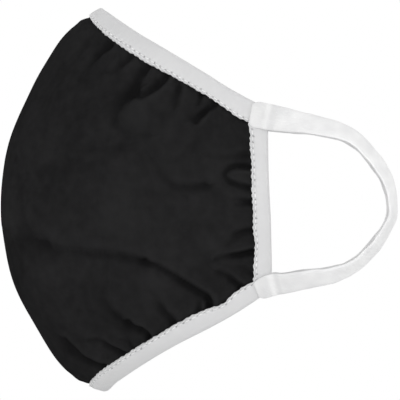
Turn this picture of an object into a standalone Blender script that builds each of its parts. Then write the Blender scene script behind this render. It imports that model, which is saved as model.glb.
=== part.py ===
"""A contoured cloth face mask with bound edges and two ear loops, at its real size.

Units are metres. +Z is up, the nose points along -Y and the wearer's left side is +X. The origin
lies midway between the two side edges at half height, where the wearer's face fills the mask.

Two cloth panels meet along the curved centre line. A panel is one smooth surface, written as
surface(across, up): across runs from 0 on the centre line to 1 on the side edge, and up runs from
0 on the chin edge to 1 on the nose edge. The bindings and loops take their places from it.
"""

from collections import namedtuple
from math import cos, pi, radians, sin

import bmesh
import bpy
import numpy as np
from mathutils import Matrix

# Side view of the cloth. Depths run forward from the side edges, heights from the middle.
FRONT_DEPTH = 0.0994
FRONT_DROP = 0.0019
NOSE_DEPTH = 0.0623
NOSE_HEIGHT = 0.0715
CHIN_DEPTH = 0.0609
CHIN_DROP = 0.0711
SIDE_RISE = 0.0329
SIDE_DROP = 0.0340
SIDE_LEAN = 0.0005

# How the centre line bends: how far each end pulls the curve, and at what slope it arrives.
FRONT_PULL = 0.0329
NOSE_PULL = 0.0179
NOSE_SLOPE = radians(27.0)
CHIN_PULL = 0.0174
CHIN_SLOPE = radians(10.4)
NOSE_EDGE_SAG = 0.0007
CHIN_EDGE_HOLLOW = 0.0015

# Seen from above, one row for each height share: the half width at the side edge, how far the
# front stays broad, and the depth and width of the cheek, all as shares of that row's sizes.
CHIN_HALF_WIDTH = 0.0520
MOUTH_HALF_WIDTH = 0.0550
NOSE_HALF_WIDTH = 0.0560
Section = namedtuple("Section", "up half_width front_breadth cheek_depth cheek_width")
SECTIONS = (
    Section(0.0, CHIN_HALF_WIDTH, 0.40, 0.36, 0.90),
    Section(0.5, MOUTH_HALF_WIDTH, 0.46, 0.30, 0.97),
    Section(1.0, NOSE_HALF_WIDTH, 0.27, 0.34, 0.84),
)

# Cloth and its edges.
CLOTH = 0.0012
GAP = 0.0003
TOP_BINDING_WIDTH = 0.0072
BOTTOM_BINDING_WIDTH = 0.0066
SIDE_BINDING_WIDTH = 0.0061
BINDING_WALL = 0.0010
BINDING_ROUND = 0.0015
EDGE_TUCK = 0.0012
TUCK_REACH = 0.0060

# Ear loops: a flat tape that turns on its edge towards the back of the loop.
LOOP_WIDTH = 0.0089
LOOP_THICKNESS = 0.0018
LOOP_REACH = 0.0457
LOOP_SPLAY = 0.0070
LOOP_BACK_DROP = 0.0019
LOOP_TWIST = radians(85)
LOOP_TOP_START_PULL = 0.0160
LOOP_BOTTOM_START_PULL = 0.0148
LOOP_TOP_PULL = 0.0285
LOOP_BOTTOM_PULL = 0.0250
SEWN_LIFT = 0.0002
SEWN_LENGTH = 0.0071
TOP_SEWN_INSET = 0.0038
TOP_LEAVING_INSET = 0.0015
BOTTOM_SEWN_INSET = 0.0035
BOTTOM_LEAVING_INSET = 0.0016

# Folds and gathers. Places are shares of the side view's depth (0 at the front, 1 at the side edge)
# and height; width and drop are shares of the two sizes below, and fade is what is left of the
# drop at the far end. A negative drop stands out.
FOLD_WIDTH = 0.0040
FOLD_DROP = 0.0016
LIP_RISE = 0.0050
SEAM_RISE = 0.0070
Fold = namedtuple("Fold", "depth_1 up_1 depth_2 up_2 depth_3 up_3 width drop fade")
FOLDS = (
    Fold(0.05, 0.62, 0.02, 0.44, 0.20, 0.37, 1.2, 0.6, 1.0),
    Fold(0.20, 0.37, 0.60, 0.37, 0.81, 0.08, 1.1, 1.1, 1.0),
    Fold(0.42, 0.95, 0.24, 0.68, 0.51, 0.66, 1.3, 0.7, 0.2),
    Fold(0.10, 0.60, 0.20, 0.60, 0.34, 0.65, 1.3, 0.5, 0.1),
    Fold(0.52, 0.62, 0.62, 0.52, 0.76, 0.52, 1.2, 0.6, 0.1),
    Fold(0.80, 0.62, 0.88, 0.58, 0.96, 0.55, 0.9, 0.7, 1.0),
    Fold(0.78, 0.22, 0.88, 0.24, 0.97, 0.27, 0.9, 0.8, 1.0),
    Fold(0.52, 0.18, 0.58, 0.10, 0.64, 0.05, 0.9, 0.7, 1.0),
    Fold(0.25, 0.24, 0.36, 0.12, 0.50, 0.06, 1.1, 1.0, 1.0),
    Fold(0.02, 0.12, 0.18, 0.08, 0.24, 0.05, 1.1, 0.9, 1.0),
    Fold(0.10, 0.86, 0.16, 0.88, 0.20, 0.92, 1.0, 0.5, 1.0),
    Fold(0.24, 0.86, 0.28, 0.88, 0.33, 0.94, 1.0, 0.5, 1.0),
    Fold(0.66, 0.78, 0.72, 0.84, 0.78, 0.92, 1.0, 0.6, 1.0),
)

MIRROR = np.array([-1.0, 1.0, 1.0])
PANEL_COLUMNS = 26
PANEL_ROWS = 24
BINDING_STEPS = 22
SIDE_STEPS = 10
SEWN_STEPS = 4
LOOP_STEPS = 40

# Colours are linear: a near-black jersey and an off-white tape that lets the dark cloth show through.
CLOTH_COLOUR = (0.017, 0.017, 0.018)
BINDING_COLOUR = (0.70, 0.70, 0.70)
LOOP_COLOUR = (0.82, 0.82, 0.82)


def cubic(a, b, c, d, share):
    """A cubic Bezier curve's value at each share of the way along."""
    rest = 1 - share
    return a * rest**3 + 3 * b * rest**2 * share + 3 * c * rest * share**2 + d * share**3


def eased(share):
    """Turns a ramp into a smooth step from 0 to 1."""
    share = np.clip(share, 0, 1)
    return share * share * (3 - 2 * share)


def centre_line(up):
    """Where the centre line runs in the side view: y and z."""
    lower, upper = 2 * up, 2 * up - 1
    chin_y = cubic(
        -CHIN_DEPTH, -CHIN_DEPTH - CHIN_PULL * cos(CHIN_SLOPE), -FRONT_DEPTH, -FRONT_DEPTH, lower
    )
    chin_z = cubic(
        -CHIN_DROP,
        -CHIN_DROP + CHIN_PULL * sin(CHIN_SLOPE),
        -FRONT_DROP - FRONT_PULL,
        -FRONT_DROP,
        lower,
    )
    nose_y = cubic(
        -FRONT_DEPTH, -FRONT_DEPTH, -NOSE_DEPTH - NOSE_PULL * cos(NOSE_SLOPE), -NOSE_DEPTH, upper
    )
    nose_z = cubic(
        -FRONT_DROP,
        -FRONT_DROP + FRONT_PULL,
        NOSE_HEIGHT - NOSE_PULL * sin(NOSE_SLOPE),
        NOSE_HEIGHT,
        upper,
    )
    below = up < 0.5
    return np.where(below, chin_y, nose_y), np.where(below, chin_z, nose_z)


def side_view(depth, up):
    """Spreads the panel between its four edges, as it is seen from the side: y and z."""
    front_y, front_z = centre_line(up)
    side_y = SIDE_LEAN * (1 - 2 * up)
    side_z = -SIDE_DROP + (SIDE_RISE + SIDE_DROP) * up
    bow = 4 * depth * (1 - depth)
    front_bow = 6.75 * depth * (1 - depth) ** 2
    chin_y = -CHIN_DEPTH + (CHIN_DEPTH + SIDE_LEAN) * depth
    chin_z = -CHIN_DROP + (CHIN_DROP - SIDE_DROP) * depth + CHIN_EDGE_HOLLOW * front_bow
    nose_y = -NOSE_DEPTH + (NOSE_DEPTH - SIDE_LEAN) * depth
    nose_z = NOSE_HEIGHT + (SIDE_RISE - NOSE_HEIGHT) * depth - NOSE_EDGE_SAG * bow

    def patch(front, side, chin, nose, corners):
        chin_front, chin_side, nose_front, nose_side = corners
        flat = (1 - up) * ((1 - depth) * chin_front + depth * chin_side)
        flat = flat + up * ((1 - depth) * nose_front + depth * nose_side)
        return (1 - depth) * front + depth * side + (1 - up) * chin + up * nose - flat

    y = patch(front_y, side_y, chin_y, nose_y, (-CHIN_DEPTH, SIDE_LEAN, -NOSE_DEPTH, -SIDE_LEAN))
    z = patch(front_z, side_z, chin_z, nose_z, (-CHIN_DROP, -SIDE_DROP, NOSE_HEIGHT, SIDE_RISE))
    return y, z


def section_at(up):
    """The seen-from-above sizes at a height share, on a smooth curve through the three rows."""
    chin, mouth, nose = (np.array(row[1:]) for row in SECTIONS)
    up = np.asarray(up, float)[..., None]
    mixed = chin * (2 * up - 1) * (up - 1) + mouth * 4 * up * (1 - up) + nose * up * (2 * up - 1)
    return np.moveaxis(mixed, -1, 0)


def surface(across, up):
    """The outer face of the cloth on the wearer's left: an array of points."""
    across, up = np.broadcast_arrays(np.asarray(across, float), np.asarray(up, float))
    half_width, breadth, cheek_depth, cheek_width = section_at(up)
    depth = cubic(0, 0, cheek_depth, 1, across)
    x = half_width * cubic(0, breadth, cheek_width, 1, across)
    y, z = side_view(depth, up)
    return np.stack([x, y, z], axis=-1)


def slopes(across, up):
    """How the surface runs as across and up grow."""
    step = 1e-4
    along = (surface(across + step, up) - surface(across - step, up)) / (2 * step)
    rising = (surface(across, up + step) - surface(across, up - step)) / (2 * step)
    return along, rising


def length_of(vectors):
    return np.linalg.norm(vectors, axis=-1)


def normal(across, up):
    """Points out of the mask, away from the face."""
    out = np.cross(*slopes(across, up))
    return out / length_of(out)[..., None]


def up_rate(across, up):
    """Distance gained, square to the nose or chin edge, for each unit of up."""
    along, rising = slopes(across, up)
    return length_of(np.cross(along, rising)) / length_of(along)


def across_rate(across, up):
    """Distance gained, square to the side edge, for each unit of across."""
    along, rising = slopes(across, up)
    return length_of(np.cross(along, rising)) / length_of(rising)


def below_nose_edge(across, inset):
    """The up value that lies this far inside the nose edge."""
    first = 1 - inset / up_rate(across, 1.0)
    return 1 - inset / up_rate(across, (1 + first) / 2)


def above_chin_edge(across, inset):
    """The up value that lies this far inside the chin edge."""
    first = inset / up_rate(across, 0.0)
    return inset / up_rate(across, first / 2)


def inside_side_edge(up, inset):
    """The across value that lies this far inside the side edge."""
    first = 1 - inset / across_rate(1.0, up)
    return 1 - inset / across_rate((1 + first) / 2, up)


def skin(across, up, lift):
    """A point this far above the cloth. The nose and chin edges are drawn in by their bindings."""
    from_nose = (1 - up) * up_rate(across, (1 + up) / 2) - TOP_BINDING_WIDTH
    from_chin = up * up_rate(across, up / 2) - BOTTOM_BINDING_WIDTH
    tuck = EDGE_TUCK * (1 - across) ** 2 * eased(1 - np.minimum(from_nose, from_chin) / TUCK_REACH)
    return surface(across, up) + normal(across, up) * np.asarray(lift - tuck)[..., None]


def fold_relief(across, up):
    """How far the folds push the cloth out along its normal. Bindings and centre line stay flat."""
    points = surface(across, up)
    relief = np.zeros(points.shape[:-1])
    shares = np.linspace(0, 1, 13)
    for fold in FOLDS:
        ys, zs = zip(
            side_view(fold.depth_1, np.float64(fold.up_1)),
            side_view(fold.depth_2, np.float64(fold.up_2)),
            side_view(fold.depth_3, np.float64(fold.up_3)),
        )
        line = [
            p[0] * (1 - shares) ** 2 + 2 * p[1] * shares * (1 - shares) + p[2] * shares**2
            for p in (ys, zs)
        ]
        away = np.hypot(points[..., 1, None] - line[0], points[..., 2, None] - line[1])
        nearest = away.argmin(axis=-1)
        share = shares[nearest]
        strength = eased(share / 0.45) * (1 + (fold.fade - 1) * eased(share * 2 - 1))
        wide = away.min(axis=-1) / (fold.width * FOLD_WIDTH)
        valley = np.exp(-(wide**2)) - 0.35 * np.exp(-((wide - 1.7) ** 2))
        relief -= fold.drop * FOLD_DROP * strength * valley
    from_edges = (
        (1 - up) * up_rate(across, (1 + up) / 2) - TOP_BINDING_WIDTH,
        up * up_rate(across, up / 2) - BOTTOM_BINDING_WIDTH,
        (1 - across) * across_rate((1 + across) / 2, up) - SIDE_BINDING_WIDTH,
    )
    for inset in from_edges:
        relief = relief * eased(inset / LIP_RISE)
    return relief * eased(points[..., 0] / SEAM_RISE)


def make_material(name, colour, roughness):
    material = bpy.data.materials.new(name)
    material.use_nodes = True
    shader = material.node_tree.nodes["Principled BSDF"]
    shader.inputs["Base Color"].default_value = (*colour, 1.0)
    shader.inputs["Roughness"].default_value = roughness
    shader.inputs["Metallic"].default_value = 0.0
    return material


def add_object(name, shaped, flip, material):
    """Turns a bmesh into an object of its own, mirrored over the centre line where asked."""
    if flip:
        shaped.transform(Matrix.Scale(-1, 4, (1, 0, 0)))
        bmesh.ops.reverse_faces(shaped, faces=shaped.faces)
    mesh = bpy.data.meshes.new(name)
    shaped.to_mesh(mesh)
    shaped.free()
    mesh.materials.append(material)
    mesh.shade_smooth()
    mesh.set_sharp_from_angle(angle=radians(40))
    made = bpy.data.objects.new(name, mesh)
    bpy.context.scene.collection.objects.link(made)
    return made


def loft(name, rings, flip, material):
    """Skins a row of rings that have the same number of points, and closes both ends."""
    shaped = bmesh.new()
    rows = [[shaped.verts.new(point) for point in ring] for ring in rings]
    for here, there in zip(rows, rows[1:]):
        for k in range(len(here)):
            shaped.faces.new((here[k - 1], here[k], there[k], there[k - 1]))
    shaped.faces.new(rows[0])
    shaped.faces.new(rows[-1])
    bmesh.ops.recalc_face_normals(shaped, faces=shaped.faces)
    return add_object(name, shaped, flip, material)


def panel_grid():
    """The across and up values of the panel's grid, closer together near the edges."""
    cloth_inset = BINDING_WALL + 2 * GAP
    steps = np.linspace(0, 1, PANEL_ROWS - 1)
    rows = 0.55 * steps + 0.45 * (0.5 - 0.5 * np.cos(pi * steps))
    row_shares = np.concatenate([[0.0], rows, [1.0]])[:, None]
    steps = np.linspace(0, 1, PANEL_COLUMNS)
    columns = steps * (1 + 0.35 * (1 - steps))
    seam = GAP / 2 / (3 * section_at(row_shares)[1] * section_at(row_shares)[0])
    lip = inside_side_edge(row_shares, SIDE_BINDING_WIDTH)
    edge = inside_side_edge(row_shares, cloth_inset)
    across = np.concatenate([seam + (lip - seam) * columns, edge], axis=1)
    low = above_chin_edge(across, BOTTOM_BINDING_WIDTH)
    high = below_nose_edge(across, TOP_BINDING_WIDTH)
    up = low + (high - low) * row_shares
    up[0] = above_chin_edge(across[0], cloth_inset)
    up[-1] = below_nose_edge(across[-1], cloth_inset)
    return across, up


def make_panel(name, flip, material):
    """One half of the cloth: a grid laid on the surface with its folds, thickened inwards."""
    across, up = panel_grid()
    laid = skin(across, up, fold_relief(across, up))
    rows, columns = across.shape
    shaped = bmesh.new()
    bmesh.ops.create_grid(shaped, x_segments=columns - 1, y_segments=rows - 1, size=0.5)
    for vert in shaped.verts:
        column = round((vert.co.x + 0.5) * (columns - 1))
        row = round((vert.co.y + 0.5) * (rows - 1))
        vert.co = laid[row, column]
    panel = add_object(name, shaped, flip, material)
    wall = panel.modifiers.new("wall", "SOLIDIFY")
    wall.thickness = CLOTH
    wall.offset = -1.0


def binding_section(width):
    """The folded tape cut across: how far each point lies inside the edge and above the cloth."""
    top = GAP + BINDING_WALL
    bottom = -CLOTH - top
    middle = -CLOTH / 2
    shoulder = 0.3 * BINDING_ROUND
    return (
        (width, GAP),
        (width, top),
        (width / 2, top),
        (BINDING_ROUND, top),
        (shoulder, middle + 0.7 * (top - middle)),
        (0.0, middle),
        (shoulder, middle + 0.7 * (bottom - middle)),
        (BINDING_ROUND, bottom),
        (width / 2, bottom),
        (width, bottom),
        (width, -CLOTH - GAP),
        (width / 2, -CLOTH - GAP),
        (BINDING_WALL, -CLOTH - GAP),
        (BINDING_WALL, GAP),
        (width / 2, GAP),
    )


def make_long_binding(name, inset_to_up, width, material):
    """The tape over the nose or chin edge, from side edge to side edge across the centre line."""
    shares = np.linspace(0, 1, BINDING_STEPS + 1)[:, None]
    across = shares * (1 + 0.35 * (1 - shares))
    insets, lifts = np.array(binding_section(width)).T
    half = skin(across, inset_to_up(across, insets), lifts)
    rings = np.concatenate([half[:0:-1] * MIRROR, half])
    return loft(name, rings, False, material)


def make_side_binding(name, flip, material):
    """The tape over one side edge, between the two long bindings."""
    shares = np.linspace(0, 1, SIDE_STEPS + 1)[:, None]
    insets, lifts = np.array(binding_section(SIDE_BINDING_WIDTH)).T
    across = inside_side_edge(shares, insets)
    low = above_chin_edge(across, BOTTOM_BINDING_WIDTH + GAP)
    high = below_nose_edge(across, TOP_BINDING_WIDTH + GAP)
    rings = skin(across, low + (high - low) * shares, lifts)
    return loft(name, rings, flip, material)


def sewn_end(inset_to_up, sewn_inset, leaving_inset):
    """Where a loop lies on the mask: its points from the inner end outwards, and its facings."""
    lift = GAP + BINDING_WALL + GAP + LOOP_THICKNESS / 2 + SEWN_LIFT
    shares = np.linspace(0, 1, SEWN_STEPS + 1)
    insets = sewn_inset + (leaving_inset - sewn_inset) * shares
    across = inside_side_edge(inset_to_up(1.0, insets), SEWN_LENGTH * (1 - shares))
    up = inset_to_up(across, insets)
    return skin(across, up, lift), normal(across, up)


def loop_line():
    """The middle of the left loop: its points, their facings, and their turn on edge."""
    top, top_outs = sewn_end(below_nose_edge, TOP_SEWN_INSET, TOP_LEAVING_INSET)
    bottom, bottom_outs = sewn_end(above_chin_edge, BOTTOM_SEWN_INSET, BOTTOM_LEAVING_INSET)
    spread = (CHIN_HALF_WIDTH + NOSE_HALF_WIDTH) / 2 + LOOP_SPLAY
    back = np.array([spread, LOOP_REACH, -LOOP_BACK_DROP])
    top_way, bottom_way = (end[-1] - end[-2] for end in (top, bottom))
    top_way = top_way / length_of(top_way)
    bottom_way = bottom_way / length_of(bottom_way)
    rise = np.array([0.0, 0.0, 1.0])
    shares = np.linspace(0, 1, LOOP_STEPS // 2 + 1)[:, None]
    above = cubic(
        top[-1],
        top[-1] + top_way * LOOP_TOP_START_PULL,
        back + rise * LOOP_TOP_PULL,
        back,
        shares,
    )
    below = cubic(
        back,
        back - rise * LOOP_BOTTOM_PULL,
        bottom[-1] + bottom_way * LOOP_BOTTOM_START_PULL,
        bottom[-1],
        shares,
    )
    free = np.linspace(0, 1, LOOP_STEPS + 1)
    outs = top_outs[-1] * (1 - free[:, None]) + bottom_outs[-1] * free[:, None]
    still = np.zeros(SEWN_STEPS)
    points = np.concatenate([top[:-1], above, below[1:], bottom[-2::-1]])
    outs = np.concatenate([top_outs[:-1], outs, bottom_outs[-2::-1]])
    turns = np.concatenate([still, LOOP_TWIST * np.sin(pi * free), still])
    return points, outs, turns


def make_loop(name, flip, material):
    """A flat tape that leaves the mask flat against it and turns on its edge at the back."""
    points, outs, turns = loop_line()
    half_width, half_thick = LOOP_WIDTH / 2, LOOP_THICKNESS / 2
    soft = 0.5 * half_thick
    section = (
        (half_width, soft),
        (half_width - soft, half_thick),
        (soft - half_width, half_thick),
        (-half_width, soft),
        (-half_width, -soft),
        (soft - half_width, -half_thick),
        (half_width - soft, -half_thick),
        (half_width, -soft),
    )
    ways = np.gradient(points, axis=0)
    ways = ways / length_of(ways)[:, None]
    middle = points.mean(axis=0)
    rings = []
    for point, way, out, turn in zip(points, ways, outs, turns):
        sideways = out - way * (out @ way)
        sideways = sideways / length_of(sideways)
        outward = np.cross(sideways, way)
        outward = outward * np.sign(outward @ (point - middle))
        flat = sideways * cos(turn) + outward * sin(turn)
        edge = np.cross(way, flat)
        rings.append(np.array([point + edge * w + flat * t for w, t in section]))
    return loft(name, rings, flip, material)


def main():
    for old in list(bpy.data.objects):
        bpy.data.objects.remove(old)
    cloth = make_material("black_jersey", CLOTH_COLOUR, 0.85)
    binding = make_material("white_binding", BINDING_COLOUR, 0.8)
    tape = make_material("white_loop_tape", LOOP_COLOUR, 0.8)
    make_long_binding("top_binding", below_nose_edge, TOP_BINDING_WIDTH, binding)
    make_long_binding("bottom_binding", above_chin_edge, BOTTOM_BINDING_WIDTH, binding)
    for side, flip in (("left", False), ("right", True)):
        make_panel(f"panel_{side}", flip, cloth)
        make_side_binding(f"side_binding_{side}", flip, binding)
        make_loop(f"ear_loop_{side}", flip, tape)


main()
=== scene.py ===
# %% [markdown]
# # A contoured cloth face mask
# The mask is two curved pieces of black knitted cloth, sewn together down the front. White folded
# tape covers every edge, and a flat white tape at each side goes round an ear. It is shown as it is
# worn, opened by a face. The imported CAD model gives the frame: each piece below takes the place of
# one of its nodes, at the same place and size, with the folds, stitches and fibres of the real one.

# %% Load the frame
from collections import namedtuple
from math import cos, pi, radians, sin

import bmesh
import bpy
import numpy as np
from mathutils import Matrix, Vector


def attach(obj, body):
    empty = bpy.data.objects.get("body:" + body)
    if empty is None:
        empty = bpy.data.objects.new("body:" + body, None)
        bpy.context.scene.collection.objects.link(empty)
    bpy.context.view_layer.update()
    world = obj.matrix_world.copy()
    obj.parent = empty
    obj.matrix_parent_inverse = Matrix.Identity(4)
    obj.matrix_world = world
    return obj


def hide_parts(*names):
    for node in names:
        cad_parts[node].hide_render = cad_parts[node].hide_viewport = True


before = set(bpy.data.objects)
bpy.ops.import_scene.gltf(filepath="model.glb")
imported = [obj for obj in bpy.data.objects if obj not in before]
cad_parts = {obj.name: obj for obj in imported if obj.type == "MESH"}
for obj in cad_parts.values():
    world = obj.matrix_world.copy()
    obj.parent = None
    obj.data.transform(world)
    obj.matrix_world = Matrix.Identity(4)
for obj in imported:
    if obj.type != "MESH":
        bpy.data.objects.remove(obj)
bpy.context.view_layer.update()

MM = 0.001

# %% [markdown]
# ## The shape that everything lies on
# A mask has no flat or round part, so primitives are no help. It is drawn as one smooth surface,
# surface(across, up). Across runs from 0 on the centre seam to 1 on the side edge, and up runs from
# 0 on the chin edge to 1 on the nose edge. The side view spreads the surface between its four edge
# curves, and a second curve bends it round the face. These are the sizes of the CAD model, so what
# is laid on the surface here lands where the CAD piece is.

# %% Sizes of the mask
FRONT_DEPTH, FRONT_DROP = 99.4 * MM, 1.9 * MM
NOSE_DEPTH, NOSE_HEIGHT = 62.3 * MM, 71.5 * MM
CHIN_DEPTH, CHIN_DROP = 60.9 * MM, 71.1 * MM
SIDE_RISE, SIDE_DROP, SIDE_LEAN = 32.9 * MM, 34.0 * MM, 0.5 * MM
FRONT_PULL = 32.9 * MM
NOSE_PULL, NOSE_SLOPE = 17.9 * MM, radians(27.0)
CHIN_PULL, CHIN_SLOPE = 17.4 * MM, radians(10.4)
NOSE_EDGE_SAG, CHIN_EDGE_HOLLOW = 0.7 * MM, 1.5 * MM
CLOTH = 1.2 * MM
TAPE = 1.0 * MM
GAP = 0.3 * MM

Section = namedtuple("Section", "half_width front_breadth cheek_depth cheek_width")
CHIN_SECTION = Section(52.0 * MM, 0.40, 0.36, 0.90)
MOUTH_SECTION = Section(55.0 * MM, 0.46, 0.30, 0.97)
NOSE_SECTION = Section(56.0 * MM, 0.27, 0.34, 0.84)


# %% The surface
def cubic(a, b, c, d, share):
    """A cubic Bezier curve's value at each share of the way along."""
    rest = 1 - share
    return a * rest**3 + 3 * b * rest**2 * share + 3 * c * rest * share**2 + d * share**3


def eased(share):
    """Turns a ramp into a smooth step from 0 to 1."""
    share = np.clip(share, 0, 1)
    return share * share * (3 - 2 * share)


def hill(distance, width):
    """A soft round bump, 1 at its middle."""
    return np.exp(-((distance / width) ** 2))


def centre_line(up):
    """Where the centre seam runs in the side view: y and z."""
    chin_handle = (
        -CHIN_DEPTH - CHIN_PULL * cos(CHIN_SLOPE),
        -CHIN_DROP + CHIN_PULL * sin(CHIN_SLOPE),
    )
    nose_handle = (
        -NOSE_DEPTH - NOSE_PULL * cos(NOSE_SLOPE),
        NOSE_HEIGHT - NOSE_PULL * sin(NOSE_SLOPE),
    )
    lower, upper = 2 * up, 2 * up - 1
    chin_y = cubic(-CHIN_DEPTH, chin_handle[0], -FRONT_DEPTH, -FRONT_DEPTH, lower)
    chin_z = cubic(-CHIN_DROP, chin_handle[1], -FRONT_DROP - FRONT_PULL, -FRONT_DROP, lower)
    nose_y = cubic(-FRONT_DEPTH, -FRONT_DEPTH, nose_handle[0], -NOSE_DEPTH, upper)
    nose_z = cubic(-FRONT_DROP, -FRONT_DROP + FRONT_PULL, nose_handle[1], NOSE_HEIGHT, upper)
    return np.where(up < 0.5, chin_y, nose_y), np.where(up < 0.5, chin_z, nose_z)


def side_view(depth, up):
    """Spreads the surface between its four edges, as it is seen from the side: y and z."""
    front_y, front_z = centre_line(up)
    side_y = SIDE_LEAN * (1 - 2 * up)
    side_z = -SIDE_DROP + (SIDE_RISE + SIDE_DROP) * up
    bow = 4 * depth * (1 - depth)
    front_bow = 6.75 * depth * (1 - depth) ** 2
    chin_y = -CHIN_DEPTH + (CHIN_DEPTH + SIDE_LEAN) * depth
    chin_z = -CHIN_DROP + (CHIN_DROP - SIDE_DROP) * depth + CHIN_EDGE_HOLLOW * front_bow
    nose_y = -NOSE_DEPTH + (NOSE_DEPTH - SIDE_LEAN) * depth
    nose_z = NOSE_HEIGHT + (SIDE_RISE - NOSE_HEIGHT) * depth - NOSE_EDGE_SAG * bow

    def patch(front, side, chin, nose, corners):
        chin_front, chin_side, nose_front, nose_side = corners
        flat = (1 - up) * ((1 - depth) * chin_front + depth * chin_side)
        flat = flat + up * ((1 - depth) * nose_front + depth * nose_side)
        return (1 - depth) * front + depth * side + (1 - up) * chin + up * nose - flat

    y = patch(front_y, side_y, chin_y, nose_y, (-CHIN_DEPTH, SIDE_LEAN, -NOSE_DEPTH, -SIDE_LEAN))
    z = patch(front_z, side_z, chin_z, nose_z, (-CHIN_DROP, -SIDE_DROP, NOSE_HEIGHT, SIDE_RISE))
    return y, z


def section_at(up):
    """The seen-from-above sizes at a height share, on a smooth curve through the three sections."""
    chin, mouth, nose = (np.array(row) for row in (CHIN_SECTION, MOUTH_SECTION, NOSE_SECTION))
    up = np.asarray(up, float)[..., None]
    mixed = chin * (2 * up - 1) * (up - 1) + mouth * 4 * up * (1 - up) + nose * up * (2 * up - 1)
    return np.moveaxis(mixed, -1, 0)


def surface(across, up):
    """The outer face of the cloth on the wearer's left."""
    across, up = np.broadcast_arrays(np.asarray(across, float), np.asarray(up, float))
    half_width, breadth, cheek_depth, cheek_width = section_at(up)
    depth = cubic(0, 0, cheek_depth, 1, across)
    x = half_width * cubic(0, breadth, cheek_width, 1, across)
    return np.stack([x, *side_view(depth, up)], axis=-1)


middle_row = surface(np.linspace(0, 1, 200), 0.5)
half_round = np.linalg.norm(np.diff(middle_row, axis=0), axis=1).sum()
print("Half round the mouth:", round(half_round / MM), "mm")


# %% [markdown]
# ## Where the tapes begin and end
# No two fingers feed a tape alike. Its folded edge strays a fraction of a millimetre from the cloth's
# edge, and its inner lip strays more. The row of stitches keeps straight unless the lip comes near.
# So each tape has two short tables along its length: how far its fold reaches past the edge, and how
# far in its lip lies. A smooth curve through the rows (Catmull-Rom) fills in what lies between.

# %% Tables along the tapes
def drawn_line(points, count=28):
    """A smooth curve through the given points (Catmull-Rom)."""
    points = np.array(points, float)
    padded = np.concatenate([[2 * points[0] - points[1]], points, [2 * points[-1] - points[-2]]])
    share = np.linspace(0, len(points) - 1, count)
    k = np.minimum(share.astype(int), len(points) - 2)
    t = (share - k)[:, None]
    before, here, after, beyond = (padded[k + shift] for shift in range(4))
    bend = 2 * before - 5 * here + 4 * after - beyond
    twist = -before + 3 * here - 3 * after + beyond
    return here + 0.5 * t * (after - before + t * (bend + t * twist))


def from_table(rows, where):
    """Reads a smooth curve through (place, mm) rows, in metres."""
    line = drawn_line(rows, 200)
    return np.interp(where, line[:, 0], line[:, 1]) * MM


# a share of the way along the tape, and mm
NOSE_LIP = (
    (0, 5.6), (0.1, 5.9), (0.17, 6.6), (0.26, 7.45), (0.33, 8.05), (0.39, 8.55), (0.5, 8.85),
    (0.6, 8.7), (0.65, 8.35), (0.70, 7.75), (0.76, 7.35), (0.82, 6.95), (0.88, 7.25), (0.93, 7.75),
    (1, 6.2),
)
CHIN_LIP = (
    (0, 6.6), (0.1, 6.95), (0.16, 7.4), (0.25, 7.9), (0.32, 8.2), (0.41, 8.1), (0.48, 7.8), (0.58, 7.7),
    (0.64, 7.45), (0.70, 7.6), (0.75, 7.3), (0.79, 7.0), (0.825, 6.3), (0.86, 5.3), (0.883, 5.9),
    (0.9, 6.6), (0.93, 6.95), (1, 6.1),
)
SIDE_LIP = (
    (0, 5.6), (0.12, 5.4), (0.18, 5.45), (0.24, 5.35), (0.3, 5.2), (0.36, 6.1), (0.4, 5.9),
    (0.5, 6.1), (0.55, 6.35), (0.62, 6.2), (0.66, 6.0), (0.71, 6.1), (0.77, 6.2), (0.83, 6.0),
    (0.88, 6.25), (1, 6.7),
)
NOSE_REACH = (
    (0, 0.3), (0.2, 0.1), (0.32, -0.2), (0.4, -0.35), (0.5, -0.45), (0.6, -0.1), (0.73, 0.15),
    (0.8, 0.2), (0.86, 0.05), (0.92, 0.15), (1, 0.6),
)
CHIN_REACH = (
    (0, 0.8), (0.09, 1.05), (0.16, 0.8), (0.27, 0.05), (0.4, -0.1), (0.55, -0.2), (0.65, -0.1),
    (0.72, 0.2), (0.8, 0.5), (0.9, 0.35), (1, -0.5),
)
SIDE_REACH = ((0, 0.5), (0.3, 0.55), (0.42, 0.45), (0.55, 0.1), (0.7, -0.1), (1, -0.1))
NOSE_ROW, CHIN_ROW, SIDE_ROW = 7.3 * MM, 6.8 * MM, 5.0 * MM
nose_lips = [row[1] for row in NOSE_LIP]
print("The nose tape's lip lies", min(nose_lips), "to", max(nose_lips), "mm in")

# %% [markdown]
# ## Distances on the surface
# Tape and stitches keep a fixed distance from an edge, while across and up are only shares. So the
# slopes of the surface turn a distance into a share. The same slopes give the direction that points
# straight out of the cloth, and skin() uses it to place a point a set height above or below it.

# %% Slopes, insets and heights
def length_of(vectors):
    return np.linalg.norm(vectors, axis=-1)


def slopes(across, up):
    step = 1e-4
    along = (surface(across + step, up) - surface(across - step, up)) / (2 * step)
    rising = (surface(across, up + step) - surface(across, up - step)) / (2 * step)
    return along, rising


def normal(across, up):
    out = np.cross(*slopes(across, up))
    return out / length_of(out)[..., None]


def up_rate(across, up):
    """Distance gained, square to the nose or chin edge, for each unit of up."""
    along, rising = slopes(across, up)
    return length_of(np.cross(along, rising)) / length_of(along)


def across_rate(across, up):
    """Distance gained, square to the side edge, for each unit of across."""
    along, rising = slopes(across, up)
    return length_of(np.cross(along, rising)) / length_of(rising)


def below_nose_edge(across, inset):
    first = 1 - inset / up_rate(across, 1.0)
    return 1 - inset / up_rate(across, (1 + first) / 2)


def above_chin_edge(across, inset):
    first = inset / up_rate(across, 0.0)
    return inset / up_rate(across, first / 2)


def inside_side_edge(up, inset):
    first = 1 - inset / across_rate(1.0, up)
    return 1 - inset / across_rate((1 + first) / 2, up)


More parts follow.
